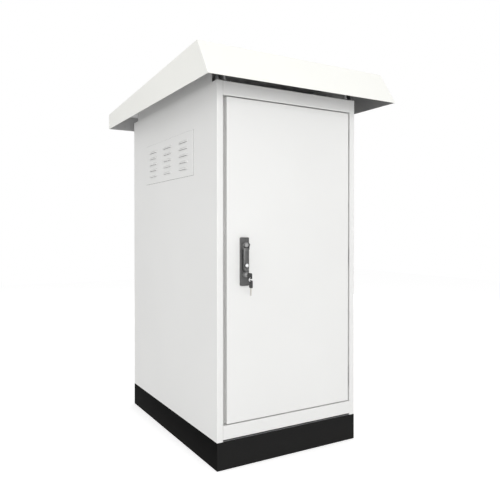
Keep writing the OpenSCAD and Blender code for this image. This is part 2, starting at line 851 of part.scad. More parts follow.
// Hinge leaf on the door: a plate inside the pan with two knuckles
module door_hinge(z) {
    edge = axis_x - knuckle_r - 1.5;
    color("#8e9193") translate([0, 0, z]) difference() {
        union() {
            block([axis_x - leaf_l, door_skin_y, -hinge_h / 2], [edge, door_skin_y + leaf_t, hinge_h / 2]);
            for (low = [-hinge_h / 2, knuckle_h / 2]) {
                block([edge - eps, door_skin_y, low], [axis_x, door_skin_y + leaf_t, low + knuckle_h]);
                translate([axis_x, axis_y, low]) cylinder(r = knuckle_r, h = knuckle_h);
            }
        }
        translate([axis_x, axis_y, -hinge_h]) cylinder(d = hinge_pin_d + 2 * fit, h = 2 * hinge_h);
    }
}

module hinge_pin(z) {
    l = hinge_h + pin_tail + clear;
    color("#c6c8ca") translate([axis_x, axis_y, z - hinge_h / 2 - pin_tail]) {
        cylinder(d = hinge_pin_d, h = l + eps);
        translate([0, 0, l]) cylinder(d = 1.5 * hinge_pin_d, h = pin_head_h);
    }
}

module upper_frame_hinge() frame_hinge(hinge_zs[2]);

module middle_frame_hinge() frame_hinge(hinge_zs[1]);

module lower_frame_hinge() frame_hinge(hinge_zs[0]);

module upper_hinge_pin() hinge_pin(hinge_zs[2]);

module middle_hinge_pin() hinge_pin(hinge_zs[1]);

module lower_hinge_pin() hinge_pin(hinge_zs[0]);

module upper_door_hinge() door_hinge(hinge_zs[2]);

module middle_door_hinge() door_hinge(hinge_zs[1]);

module lower_door_hinge() door_hinge(hinge_zs[0]);

// Outline of the door pan's depth between two edges, with round front corners
module pan_section(a0, a1) {
    translate([a0, front_y + pan_r]) square([a1 - a0, door_t - pan_r]);
    translate([a0 + pan_r, front_y]) square([a1 - a0 - 2 * pan_r, door_t]);
    for (a = [a0 + pan_r, a1 - pan_r]) translate([a, front_y + pan_r]) circle(pan_r);
}

// Door: a pan with turned edges and lips, slotted for the hinges and cut out for the lock
module door_panel() {
    slot_x = axis_x - knuckle_r - 1;
    color("#f1f2f0") difference() {
        intersection() {
            translate([0, 0, door_z0]) linear_extrude(door_z1 - door_z0) pan_section(door_x0, door_x1);
            along_x(door_x0, door_x1) mirror([1, -1, 0]) pan_section(door_z0, door_z1);
        }
        block([door_x0 + sheet, door_skin_y, door_z0 + sheet],
            [door_x1 - sheet, door_back_y - sheet, door_z1 - sheet]);
        block([door_x0 + lip_w, door_skin_y, door_z0 + lip_w],
            [door_x1 - lip_w, door_back_y + 1, door_z1 - lip_w]);
        for (z = hinge_zs) block([slot_x, axis_y - knuckle_r - 1, z - hinge_h / 2 - slot_room],
            [door_x1 + 1, door_back_y + 1, z + hinge_h / 2 + slot_room]);
        along_y(front_y - 1, door_skin_y + 1) translate([lock_x, lock_mid_z])
            rounded_rect(housing_w + 2 * clear, housing_h + 2 * clear, plate_r - 1);
    }
}

module stiffener(z) {
    h = sheet / 2;
    w = stiffener_h / 2;
    foot = w + stiffener_foot;
    color("#e3e4e2") along_x(door_x0 + lip_w + 2, door_x1 - lip_w - stiffener_end) translate([0, z]) folded([
        [door_skin_y + h, -foot], [door_skin_y + h, -w], [door_back_y - h, -w],
        [door_back_y - h, w], [door_skin_y + h, w], [door_skin_y + h, foot]
    ]);
}

module upper_door_stiffener() stiffener(upper_stiffener_z);

module lower_door_stiffener() stiffener(lower_stiffener_z);

// Rubber seal on the door's lip
module door_seal() {
    color("#1d1e20") along_y(door_back_y, land_y - clear) difference() {
        door_outline(seal_inset);
        door_outline(seal_inset + seal_w);
    }
}

module door_outline(inset) {
    translate([door_x0 + inset, door_z0 + inset])
        square([door_x1 - door_x0 - 2 * inset, door_z1 - door_z0 - 2 * inset]);
}

// Slab with the lock plate's outline, or with one set in from it
module lock_outline(y0, y1, inset) {
    along_y(y0, y1) translate([lock_x, lock_mid_z])
        rounded_rect(plate_w - 2 * inset, plate_h - 2 * inset, plate_r - inset / 2);
}

// Lock housing: a dished plate on the door, and a body through the door's cut-out
module lock_housing() {
    color("#3b3d3f") difference() {
        union() {
            difference() {
                lock_outline(plate_y, front_y, 0);
                lock_outline(plate_y - 1, plate_y + dish_d, plate_rim);
            }
            along_y(front_y - eps, housing_back_y) translate([lock_x, lock_mid_z])
                rounded_rect(housing_w, housing_h, plate_r - 1);
            rod_y(lock_x, pivot_z, plate_y, front_y, spindle_d + 2 * boss_wall);
            rod_y(lock_x, key_z, plate_y, front_y, plug_d + 2 * boss_wall);
        }
        rod_y(lock_x, pivot_z, plate_y - 1, housing_back_y + 1, spindle_d + 2 * fit);
        rod_y(lock_x, key_z, plate_y - 1, housing_back_y + 1, plug_d + 2 * fit);
    }
}

// Strap that clamps the housing to the door from behind
module lock_bracket() {
    low = key_z - plug_d;
    high = pivot_z + spindle_d;
    back = housing_back_y + strap_t;
    color("#b9bbbc") difference() {
        union() {
            block([lock_x - strap_w, housing_back_y, low], [lock_x + strap_w, back, high]);
            for (x = [lock_x - strap_w, lock_x + strap_w - strap_t])
                block([x, door_skin_y, low], [x + strap_t, back, high]);
        }
        rod_y(lock_x, pivot_z, housing_back_y - 1, back + 1, spindle_d + 1);
        rod_y(lock_x, key_z, housing_back_y - 1, back + 1, plug_d + 1);
    }
}

// Spindle: turns in the housing, with the knob that the lever tilts on
module lock_spindle() {
    color("#4b4d4e") {
        rod_y(lock_x, pivot_z, lift_y, cam_back_y - cam_t, spindle_d);
        translate([lock_x, lift_y, pivot_z]) sphere(knob_r);
        translate([lock_x - cheek_x - cheek_t, lift_y, pivot_z]) rotate([0, 90, 0])
            cylinder(d = lift_pin_d, h = 2 * (cheek_x + cheek_t));
    }
}

// Cam: carries one pin for each rod
module lock_cam() {
    color("#a9abad") {
        rod_y(lock_x, pivot_z, cam_back_y - cam_t, cam_back_y, 2 * (cam_r + cam_rim));
        for (s = [-1, 1])
            rod_y(lock_x + s * pin_x, pivot_z - s * pin_x, cam_back_y - eps, pin_tip_y, cam_pin_d);
    }
}

// Outline of the lever's bar below the pivot
module lever_outline() {
    top = -cheek_x - 1;
    end = -lever_l + lever_w / 2;
    translate([-lever_w / 2, end]) square([lever_w, top - end]);
    translate([0, end]) circle(d = lever_w);
}

// Lever: a crowned bar with a round end, forked round the knob and bored for the push button
module lock_lever() {
    w = cheek_x + cheek_t;
    neck = -cheek_x - 1;
    cheek_y = lever_front_y + cheek_t;
    color("#5a5c5d") translate([lock_x, 0, pivot_z]) difference() {
        union() {
            intersection() {
                along_y(lever_front_y, lever_back_y) lever_outline();
                translate([0, lever_front_y + lever_crown_r, -lever_l])
                    cylinder(r = lever_crown_r, h = lever_l);
            }
            for (x = [-w, cheek_x]) {
                block([x, cheek_y, neck - eps], [x + cheek_t, lever_back_y, 0]);
                translate([x, lift_y, 0]) rotate([0, 90, 0]) cylinder(r = lever_end_r, h = cheek_t);
            }
            block([-w, cheek_y, neck - 2 * cheek_t], [w, lever_back_y, neck]);
        }
        translate([0, lift_y, 0]) sphere(cheek_x);
        translate([-w - 1, lift_y, 0]) rotate([0, 90, 0]) cylinder(d = lift_pin_d + 2 * fit, h = 2 * w + 2);
        rod_y(0, -button_drop, lever_front_y - 1, lever_back_y - 2, button_d + 2 * fit);
    }
}

// Push button: a domed plug in the lever
module push_button() {
    color("#d9dbdd") translate([lock_x, lever_front_y + button_in, pivot_z - button_drop]) rotate([90, 0, 0])
        rotate_extrude() {
            square([button_d / 2, button_in + button_out]);
            intersection() {
                translate([0, button_in - button_out]) circle(d = button_d + 1);
                square([button_d / 2, button_d]);
            }
        }
}

// Rod: a flat bar with a cross slot for the cam's pin
module lock_rod(side, z_end) {
    x = lock_x + side * rod_x;
    pin_z = pivot_z - side * pin_x;
    end = pin_z + side * (cam_pin_d + 4);
    slot_w = cam_r - pin_x + cam_pin_d + 2 * pin_slack;
    slot_h = cam_pin_d + 2 * pin_slack;
    color("#b9bbbc") difference() {
        block([x - rod_w / 2, rod_y0, min(end, z_end)], [x + rod_w / 2, rod_y0 + rod_t, max(end, z_end)]);
        block([x - slot_w / 2, rod_y0 - 1, pin_z - slot_h / 2],
            [x + slot_w / 2, rod_y0 + rod_t + 1, pin_z + slot_h / 2]);
    }
}

module upper_rod() lock_rod(-1, top_land_z - rod_tip_gap);

module lower_rod() lock_rod(1, bottom_land_z + rod_tip_gap);

// Guides that hold the rods on the stiffeners
module rod_guides() {
    inner = rod_w / 2 + clear;
    outer = inner + guide_wall;
    back = rod_y0 + rod_t + clear;
    color("#2b2c2e") for (g = [[-rod_x, upper_stiffener_z], [rod_x, lower_stiffener_z]])
        translate([lock_x + g[0], 0, g[1]]) difference() {
            block([-outer, door_back_y, -guide_h / 2], [outer, back + guide_wall, guide_h / 2]);
            block([-inner, rod_y0 - clear, -guide_h], [inner, back, guide_h]);
        }
}

// Key plug: turns in the housing, with a slit for the key
module key_plug() {
    slit_w = key_t + 2 * key_room;
    slit_h = key_w + 2 * key_room;
    color("#6a6c6d") difference() {
        union() {
            rod_y(lock_x, key_z, plate_y - plug_out - eps, housing_back_y + 2 * strap_t, plug_d);
            translate([lock_x, plate_y - plug_out, key_z]) rotate([90, 0, 0]) rotate_extrude()
                intersection() {
                    translate([0, plug_dome_h - plug_dome_r]) circle(r = plug_dome_r);
                    square([0.85 * plug_dome_r, plug_dome_r]);
                }
        }
        block([lock_x - slit_w / 2, plate_y - plug_out - plug_dome_r, key_z - slit_h / 2],
            [lock_x + slit_w / 2, front_y + key_in + 2, key_z + slit_h / 2]);
    }
}

// Keys: a flat blade and a moulded bow with a hole for the ring
module bow_profile() {
    difference() {
        rounded_rect(bow_out, bow_h, bow_r);
        translate([-bow_out / 2 + bow_hole_in, -bow_h / 2 + bow_hole_in]) circle(d = ring_hole_d);
    }
}

module lock_key() {
    color("#232426") translate([lock_x - bow_t / 2, bow_y, bow_z]) rotate([90, 0, 90])
        linear_extrude(bow_t) bow_profile();
    color("#c9c6b8") block([lock_x - key_t / 2, bow_y + bow_out / 2 - 1, key_z - key_w / 2],
        [lock_x + key_t / 2, front_y + key_in, key_z + key_w / 2]);
}

module key_ring() {
    color("#c4c6c8") translate([lock_x, key_hole_y, key_hole_z - ring_drop - ring_r]) rotate([90, 0, 0])
        rotate_extrude() translate([ring_r, 0]) circle(d = ring_wire, $fn = 24);
}

module spare_key() {
    hole_z = key_hole_z - ring_drop - 2 * ring_r - ring_hang;
    mid_z = hole_z + bow_hole_in - bow_out / 2;
    blade_z = mid_z - bow_out / 2 + 1;
    color("#232426") translate([lock_x - bow_t / 2, key_hole_y, mid_z]) rotate([90, 0, 90])
        linear_extrude(bow_t) difference() {
            rounded_rect(bow_h, bow_out, bow_r);
            translate([0, bow_out / 2 - bow_hole_in]) circle(d = ring_hole_d);
        }
    color("#c9c6b8") block([lock_x - key_t / 2, key_hole_y - key_w / 2, blade_z - spare_blade],
        [lock_x + key_t / 2, key_hole_y + key_w / 2, blade_z]);
}

plinth();
plinth_bolts();
floor_pan();
gland_plate();
gland_plate_screws();
left_side_panel();
right_side_panel();
rear_panel();
rear_panel_screws();
top_panel();
front_top_rail();
front_bottom_rail();
left_vent_plate();
right_vent_plate();
left_filter_mat();
right_filter_mat();
left_filter_frame();
right_filter_frame();
roof_cover();
left_roof_rail();
right_roof_rail();
roof_brackets();
roof_bolts();
front_left_rack_rail();
front_right_rack_rail();
rear_left_rack_rail();
rear_right_rack_rail();
lower_left_depth_rail();
lower_right_depth_rail();
upper_left_depth_rail();
upper_right_depth_rail();
earth_bar();
earth_bar_posts();
upper_frame_hinge();
middle_frame_hinge();
lower_frame_hinge();
upper_hinge_pin();
middle_hinge_pin();
lower_hinge_pin();
door_panel();
upper_door_stiffener();
lower_door_stiffener();
door_seal();
upper_door_hinge();
middle_door_hinge();
lower_door_hinge();
lock_housing();
lock_bracket();
rod_guides();
lock_spindle();
lock_cam();
lock_lever();
push_button();
upper_rod();
lower_rod();
key_plug();
lock_key();
key_ring();
spare_key();
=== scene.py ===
import math

import bpy
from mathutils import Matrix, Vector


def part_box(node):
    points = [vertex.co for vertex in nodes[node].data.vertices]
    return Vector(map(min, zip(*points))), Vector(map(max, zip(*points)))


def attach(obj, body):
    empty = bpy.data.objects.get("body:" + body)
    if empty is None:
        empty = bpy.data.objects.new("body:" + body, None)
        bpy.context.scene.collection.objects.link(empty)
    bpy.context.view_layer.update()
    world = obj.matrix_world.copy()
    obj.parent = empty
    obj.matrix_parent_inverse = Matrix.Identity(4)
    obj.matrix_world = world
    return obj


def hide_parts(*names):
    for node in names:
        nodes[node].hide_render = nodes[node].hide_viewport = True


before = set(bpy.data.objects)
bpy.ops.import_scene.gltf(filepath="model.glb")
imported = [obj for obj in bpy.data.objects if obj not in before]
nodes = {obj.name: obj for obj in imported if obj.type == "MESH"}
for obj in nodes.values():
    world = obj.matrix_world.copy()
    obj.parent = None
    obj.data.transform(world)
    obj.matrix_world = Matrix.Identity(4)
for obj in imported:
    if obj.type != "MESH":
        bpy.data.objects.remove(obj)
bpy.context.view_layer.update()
print("frame loaded:", len(nodes), "nodes")


# shader maths written as expressions on sockets
class Wire:
    def __init__(self, sheet, socket):
        self.sheet = sheet
        self.socket = socket

    def calc(self, operation, *others):
        values = dict(enumerate((self,) + others))
        return self.sheet.node("ShaderNodeMath", {"operation": operation}, values)

    def __add__(self, other):
        return self.calc("ADD", other)

    def __radd__(self, other):
        return self.calc("ADD", other)

    def __sub__(self, other):
        return self.calc("SUBTRACT", other)

    def __rsub__(self, other):
        return self.sheet.node("ShaderNodeMath", {"operation": "SUBTRACT"}, {0: other, 1: self})

    def __mul__(self, other):
        return self.calc("MULTIPLY", other)

    def __rmul__(self, other):
        return self.calc("MULTIPLY", other)

    def __gt__(self, other):
        return self.calc("GREATER_THAN", other)

    def __lt__(self, other):
        return self.calc("LESS_THAN", other)

    def size(self):
        return self.calc("ABSOLUTE")

    def most(self, other):
        return self.calc("MAXIMUM", other)


# the node sheet of one material, or of the sky
class Finish:
    def __init__(self, name, sky=False):
        self.owner = bpy.data.worlds.new(name) if sky else bpy.data.materials.new(name)
        self.owner.use_nodes = True
        self.tree = self.owner.node_tree
        self.tree.nodes.clear()
        self.place = self.node("ShaderNodeTexCoord", out="Object")

    def node(self, kind, settings=None, values=None, out=0):
        made = self.tree.nodes.new(kind)
        for key, value in (settings or {}).items():
            setattr(made, key, value)
        for key, value in (values or {}).items():
            if isinstance(value, Wire):
                self.tree.links.new(value.socket, made.inputs[key])
            else:
                made.inputs[key].default_value = value
        return Wire(self, made.outputs[out]) if made.outputs else made

    def along(self, axis):
        return self.node("ShaderNodeSeparateXYZ", None, {0: self.place}, out=axis)

    def outward(self):
        return self.node("ShaderNodeTexCoord", out="Normal")

    def facing(self, axis):    # 1 where the surface looks along the axis, either way
        return self.node("ShaderNodeSeparateXYZ", None, {0: self.outward()}, out=axis).size()

    def noise(self, scale, detail=3.0, rough=0.5, at=None):
        values = {"Vector": at or self.place, "Scale": scale, "Detail": detail, "Roughness": rough}
        return self.node("ShaderNodeTexNoise", None, values, out="Fac")

    def cells(self, scale, out):
        return self.node("ShaderNodeTexVoronoi", None, {"Vector": self.place, "Scale": scale}, out=out)

    def step(self, value, low, high):
        values = {"Value": value, "From Min": low, "From Max": high}
        return self.node("ShaderNodeMapRange", {"interpolation_type": "SMOOTHSTEP"}, values)

    def mix(self, factor, first, second):
        values = {"Factor": factor, 6: first, 7: second}
        return self.node("ShaderNodeMix", {"data_type": "RGBA"}, values, out=2)

    def bump(self, height, strength, distance):
        values = {"Height": height, "Strength": strength, "Distance": distance}
        return self.node("ShaderNodeBump", None, values)

    def seen(self):    # what the camera sees, straight or in metal and glass
        camera, mirrored, through = (self.node("ShaderNodeLightPath", out="Is " + kind + " Ray")
                                     for kind in ("Camera", "Glossy", "Transmission"))
        return camera.most(mirrored).most(through)

    def surface(self, **values):
        named = {key.replace("_", " "): value for key, value in values.items()}
        shader = self.node("ShaderNodeBsdfPrincipled", None, named)
        self.node("ShaderNodeOutputMaterial", None, {"Surface": shader})
        return self.owner


def shade(value, tint=(1.0, 1.0, 1.0)):
    return tuple(value * part for part in tint) + (1.0,)


# camera found from the photograph's edges
viewing = {
    "place": (-1.1341, -2.0735, 0.8083),
    "pitch": 89.45,
    "yaw": -30.35,
    "sensor": 36.0,
    "focalPixels": 547.98,
    "framePixels": 500.0,
    "centreRow": 237.40,
    "reach": 50.0,
}


def addCamera():
    data = bpy.data.cameras.new("photoCamera")
    data.sensor_width = viewing["sensor"]
    data.lens = viewing["focalPixels"] / viewing["framePixels"] * viewing["sensor"]
    data.shift_y = (viewing["centreRow"] - viewing["framePixels"] / 2) / viewing["framePixels"]
    data.clip_end = viewing["reach"]
    camera = bpy.data.objects.new("photoCamera", data)
    camera.location = viewing["place"]
    camera.rotation_euler = (math.radians(viewing["pitch"]), 0.0, math.radians(viewing["yaw"]))
    bpy.context.scene.collection.objects.link(camera)
    bpy.context.scene.camera = camera


addCamera()
print("camera placed")


# soft studio light and a pale floor
studio = {
    "skyStrength": 0.56,
    "floorSize": 14.0,
    "floorDrop": 0.0005,
    "floorColor": 0.82,
    "floorGlow": 0.52,
    "lamps": [
        {"name": "frontSoftbox", "size": 2.6, "watts": 95.0,
         "place": (-1.0, -4.4, 1.65), "aim": (0.0, 0.0, 0.8)},
        {"name": "sideSoftbox", "size": 1.2, "watts": 18.0,
         "place": (-3.2, -0.2, 0.65), "aim": (0.0, 0.0, 0.8)},
        {"name": "rearSoftbox", "size": 2.6, "watts": 36.0,
         "place": (3.4, 3.4, 1.3), "aim": (0.0, 0.0, 0.8)},
        {"name": "topSoftbox", "size": 3.0, "watts": 16.0,
         "place": (0.4, -0.6, 4.6), "aim": (0.0, 0.0, 1.2)},
    ],
}


def addLamp(lamp):
    data = bpy.data.lights.new(lamp["name"], "AREA")
    data.size = lamp["size"]
    data.energy = lamp["watts"]
    light = bpy.data.objects.new(lamp["name"], data)
    light.visible_camera = False
    light.location = lamp["place"]
    aim = [b - a for a, b in zip(lamp["place"], lamp["aim"])]
    flat = math.hypot(aim[0], aim[1])
    light.rotation_euler = (math.atan2(flat, -aim[2]), 0.0, math.atan2(aim[1], aim[0]) - math.pi / 2)
    bpy.context.scene.collection.objects.link(light)


# a white backdrop for the camera, and a softer white as light
def addSky():
    sky = Finish("studioSky", sky=True)
    values = {"Value": sky.seen(), "To Min": studio["skyStrength"], "To Max": 1.0}
    strength = sky.node("ShaderNodeMapRange", None, values)
    white = sky.node("ShaderNodeBackground", None, {"Color": shade(1.0), "Strength": strength})
    sky.node("ShaderNodeOutputWorld", None, {"Surface": white})
    bpy.context.scene.world = sky.owner


def addFloor():
    finish = Finish("paleFloor")
    matte = finish.node("ShaderNodeBsdfDiffuse", None, {"Color": shade(studio["floorColor"])})
    glow = finish.node("ShaderNodeEmission", None, {"Strength": finish.seen() * studio["floorGlow"]})
    both = finish.node("ShaderNodeAddShader", None, {0: matte, 1: glow})
    finish.node("ShaderNodeOutputMaterial", None, {"Surface": both})
    bpy.ops.mesh.primitive_plane_add(size=studio["floorSize"], location=(0.0, 0.0, -studio["floorDrop"]))
    floor = bpy.context.object
    floor.name = "studioFloor"
    floor.data.materials.append(finish.owner)


bpy.context.scene.view_settings.view_transform = "Standard"
bpy.ops.object.select_all(action="DESELECT")
addSky()
addFloor()
for lamp in studio["lamps"]:
    addLamp(lamp)
print("studio lit")


# powder-coated sheet: fine orange peel and a faint drift of tone
paint = {
    "white": 0.78,
    "tint": (1.0, 1.0, 0.985),
    "drift": 0.03,
    "driftScale": 2.2,
    "rough": 0.42,
    "smear": 0.12,
    "smearScale": 9.0,
    "peelScale": 900.0,
    "peelStrength": 0.35,
    "peelDepth": 0.00006,
}


def makeWhitePaint(name, white=paint["white"], tint=paint["tint"], inside=None):
    finish = Finish(name)
    tone = finish.noise(paint["driftScale"], detail=2.0)
    color = finish.mix(tone, shade(white - paint["drift"], tint), shade(white + paint["drift"], tint))
    # the roof's inner faces take painted shade on the skirts
    if inside:
        color = finish.mix(insideMask(finish), color, makeRoofPaintedShade(finish, white, inside))
    peel = finish.noise(paint["peelScale"], detail=2.0)
    smear = finish.noise(paint["smearScale"])
    return finish.surface(
        Base_Color=color,
        Roughness=paint["rough"] + smear * paint["smear"],
        Normal=finish.bump(peel, paint["peelStrength"], paint["peelDepth"]),
    )


# the roof's hidden side: painted shade, dark on the skirts, less across the front and rear, none on lying
# sheet
roofPaintedShade = {"heart": (0.0, 0.0, 1.31), "crossFrom": 0.5, "lyingFrom": 0.8}


def makeRoofPaintedShade(finish, white, inside):
    across = finish.facing("Y") > roofPaintedShade["crossFrom"]
    lying = finish.facing("Z") > roofPaintedShade["lyingFrom"]
    skirts = finish.mix(across, shade(inside["sides"]), shade(inside["ends"]))
    return finish.mix(lying, skirts, shade(white))


# faces that look towards the roof's middle, which take the painted shade
def insideMask(finish):
    fromHeart = finish.node("ShaderNodeVectorMath", {"operation": "SUBTRACT"},
                            {0: finish.place, 1: roofPaintedShade["heart"]})
    facing = finish.node("ShaderNodeVectorMath", {"operation": "DOT_PRODUCT"},
                         {0: finish.outward(), 1: fromHeart}, out="Value")
    return facing < 0.0


# the plinth: painted shade on the sides and painted light on the front and rear, dusty towards the ground
plinthCoat = {
    "black": 0.003,
    "frontRearPaintedLight": 0.018,
    "dust": 0.024,
    "dustTint": (1.0, 0.97, 0.92),
    "dustScale": 6.0,
    "dustShare": 0.5,
    "dustTop": 0.09,
    "rough": 0.42,
    "roughDrift": 0.2,
    "specular": 0.008,
    "peelScale": 700.0,
    "peelStrength": 0.4,
    "peelDepth": 0.00008,
}


def makeBlackPaint():
    finish = Finish("plinthBlack")
    peel = finish.noise(plinthCoat["peelScale"], detail=2.0)
    dust = finish.noise(plinthCoat["dustScale"], detail=4.0, rough=0.6)
    low = finish.step(finish.along("Z"), plinthCoat["dustTop"], 0.0)
    # painted shade on the side faces, painted light on the front and rear faces
    black = finish.mix(finish.facing("Y"), shade(plinthCoat["black"]), shade(plinthCoat["frontRearPaintedLight"]))
    dusty = shade(plinthCoat["dust"], plinthCoat["dustTint"])
    return finish.surface(
        Base_Color=finish.mix(dust * low * plinthCoat["dustShare"], black, dusty),
        Specular_IOR_Level=plinthCoat["specular"],
        Roughness=plinthCoat["rough"] + dust * plinthCoat["roughDrift"],
        Normal=finish.bump(peel, plinthCoat["peelStrength"], plinthCoat["peelDepth"]),
    )


# zinc plate: small bright and dull grains under a cloudy tone
zincPlate = {
    "dark": 0.85,
    "light": 1.12,
    "lightTint": (1.0, 1.0, 1.02),
    "grainScale": 260.0,
    "grainShare": 0.6,
    "cloudScale": 22.0,
    "cloudShare": 0.4,
    "metal": 0.9,
    "rough": 0.32,
    "roughDrift": 0.2,
    "grainStrength": 0.12,
    "grainDepth": 0.00005,
}


def makeZinc(name, tone):
    finish = Finish(name)
    grain = finish.node("ShaderNodeSeparateColor", None,
                        {0: finish.cells(zincPlate["grainScale"], "Color")}, out="Red")
    cloud = finish.noise(zincPlate["cloudScale"])
    blend = grain * zincPlate["grainShare"] + cloud * zincPlate["cloudShare"]
    light = shade(tone * zincPlate["light"], zincPlate["lightTint"])
    return finish.surface(
        Base_Color=finish.mix(blend, shade(tone * zincPlate["dark"]), light),
        Metallic=zincPlate["metal"],
        Roughness=zincPlate["rough"] + cloud * zincPlate["roughDrift"],
        Normal=finish.bump(grain, zincPlate["grainStrength"], zincPlate["grainDepth"]),
    )


rubber = {
    "dark": 0.012,
    "light": 0.03,
    "rough": 0.75,
    "roughDrift": 0.15,
    "poreScale": 1400.0,
    "poreStrength": 0.5,
    "poreDepth": 0.0001,
}


def makeRubber():
    finish = Finish("sealRubber")
    pores = finish.noise(rubber["poreScale"], detail=2.0)
    return finish.surface(
        Base_Color=finish.mix(pores, shade(rubber["dark"]), shade(rubber["light"])),
        Roughness=rubber["rough"] + pores * rubber["roughDrift"],
        Normal=finish.bump(pores, rubber["poreStrength"], rubber["poreDepth"]),
    )


# open filter foam
foam = {
    "dark": 0.14,
    "light": 0.26,
    "rough": 0.92,
    "roughDrift": 0.05,
    "cellScale": 420.0,
    "cellStrength": 0.8,
    "cellDepth": 0.0006,
}


def makeFoam():
    finish = Finish("filterFoam")
    cells = finish.cells(foam["cellScale"], "Distance")
    return finish.surface(
        Base_Color=finish.mix(cells, shade(foam["dark"]), shade(foam["light"])),
        Roughness=foam["rough"] - cells * foam["roughDrift"],
        Normal=finish.bump(cells, foam["cellStrength"], foam["cellDepth"]),
    )


# rolled copper bar with stains
copper = {
    "bright": (0.72, 0.36, 0.19, 1.0),
    "stained": (0.5, 0.23, 0.12, 1.0),
    "stainScale": 30.0,
    "rollStretch": (6.0, 400.0, 400.0),
    "rollScale": 4.0,
    "rollStrength": 0.1,
    "rollDepth": 0.00005,
    "metal": 0.95,
    "rough": 0.28,
    "roughDrift": 0.2,
}


def makeCopper():
    finish = Finish("barCopper")
    stretch = finish.node("ShaderNodeMapping", None, {"Vector": finish.place, "Scale": copper["rollStretch"]})
    rolled = finish.noise(copper["rollScale"], at=stretch)
    stain = finish.noise(copper["stainScale"])
    return finish.surface(
        Base_Color=finish.mix(stain, copper["bright"], copper["stained"]),
        Metallic=copper["metal"],
        Roughness=copper["rough"] + rolled * copper["roughDrift"],
        Normal=finish.bump(rolled, copper["rollStrength"], copper["rollDepth"]),
    )


# moulded plastic with a fine grain and lighter patches
plastic = {
    "lighter": 1.35,
    "patchScale": 40.0,
    "roughDrift": 0.12,
    "grainScale": 1100.0,
    "grainStrength": 0.3,
    "grainDepth": 0.00006,
}


def makePlastic(name, color, rough=0.5):
    finish = Finish(name)
    grain = finish.noise(plastic["grainScale"], detail=2.0)
    patch = finish.noise(plastic["patchScale"], detail=2.0)
    lighter = tuple(min(1.0, part * plastic["lighter"]) for part in color)
    return finish.surface(
        Base_Color=finish.mix(patch, shade(1.0, color), shade(1.0, lighter)),
        Roughness=rough + grain * plastic["roughDrift"],
        Normal=finish.bump(grain, plastic["grainStrength"], plastic["grainDepth"]),
    )


# satin die casting of the lock, rubbed lighter where hands touch it
casting = {
    "rubScale": 55.0,
    "rubFrom": 0.35,
    "rubTo": 0.75,
    "metal": 0.25,
    "rough": 0.34,
    "roughDrift": 0.14,
    "grainScale": 800.0,
    "grainStrength": 0.25,
    "grainDepth": 0.00005,
}


def makeLockGrey(name, dark, light):
    finish = Finish(name)
    grain = finish.noise(casting["grainScale"], detail=2.0)
    worn = finish.noise(casting["rubScale"], detail=4.0, rough=0.6)
    rub = finish.step(worn, casting["rubFrom"], casting["rubTo"])
    return finish.surface(
        Base_Color=finish.mix(rub, shade(dark), shade(light)),
        Metallic=casting["metal"],
        Roughness=casting["rough"] + grain * casting["roughDrift"],
        Normal=finish.bump(grain, casting["grainStrength"], casting["grainDepth"]),
    )


chrome = {
    "dark": 0.56,
    "light": 0.7,
    "lightTint": (0.99, 1.0, 1.02),
    "hazeScale": 90.0,
    "rough": 0.06,
    "roughDrift": 0.1,
}


def makeChrome():
    finish = Finish("buttonChrome")
    haze = finish.noise(chrome["hazeScale"])
    return finish.surface(
        Base_Color=finish.mix(haze, shade(chrome["dark"]), shade(chrome["light"], chrome["lightTint"])),
        Metallic=1.0,
        Roughness=chrome["rough"] + haze * chrome["roughDrift"],
    )


# keys: moulded bow and a plain metal blade, told apart by where they are
keyLook = {
    "bowDark": 0.016,
    "bowLight": 0.034,
    "bladeDark": 0.52,
    "bladeDarkTint": (1.0, 0.97, 0.9),
    "bladeLight": 0.7,
    "bladeLightTint": (1.0, 0.98, 0.93),
    "brushScale": 120.0,
    "metal": 0.95,
    "rough": 0.45,
    "smootherBlade": 0.18,
    "roughDrift": 0.1,
    "grainScale": 900.0,
    "grainStrength": 0.2,
    "grainDepth": 0.00004,
    "bowToPlug": 0.0005,
    "spareBladeLong": 0.026,
}


def makeKey(name, axis, edge, bladeAbove):
    finish = Finish(name)
    along = finish.along(axis)
    blade = along > edge if bladeAbove else along < edge
    grain = finish.noise(keyLook["grainScale"], detail=2.0)
    brushed = finish.noise(keyLook["brushScale"])
    bow = finish.mix(grain, shade(keyLook["bowDark"]), shade(keyLook["bowLight"]))
    metal = finish.mix(brushed, shade(keyLook["bladeDark"], keyLook["bladeDarkTint"]),
                       shade(keyLook["bladeLight"], keyLook["bladeLightTint"]))
    return finish.surface(
        Base_Color=finish.mix(blade, bow, metal),
        Metallic=blade * keyLook["metal"],
        Roughness=keyLook["rough"] - blade * keyLook["smootherBlade"] + grain * keyLook["roughDrift"],
        Normal=finish.bump(grain, keyLook["grainStrength"], keyLook["grainDepth"]),
    )


def dress(names, material):
    for name in names:
        slots = nodes[name].data.materials
        slots.clear()
        slots.append(material)


hinges = ("upper", "middle", "lower")
boltZinc = makeZinc("boltZinc", tone=0.68)
sealRubber = makeRubber()
filterFoam = makeFoam()

dress(["left_side_panel", "right_side_panel", "rear_panel", "front_top_rail", "front_bottom_rail",
       "door_panel", "left_vent_plate", "right_vent_plate"], makeWhitePaint("whitePaint"))
dress(["upper_door_stiffener", "lower_door_stiffener", "top_panel"], makeWhitePaint("innerPaint", white=0.74))
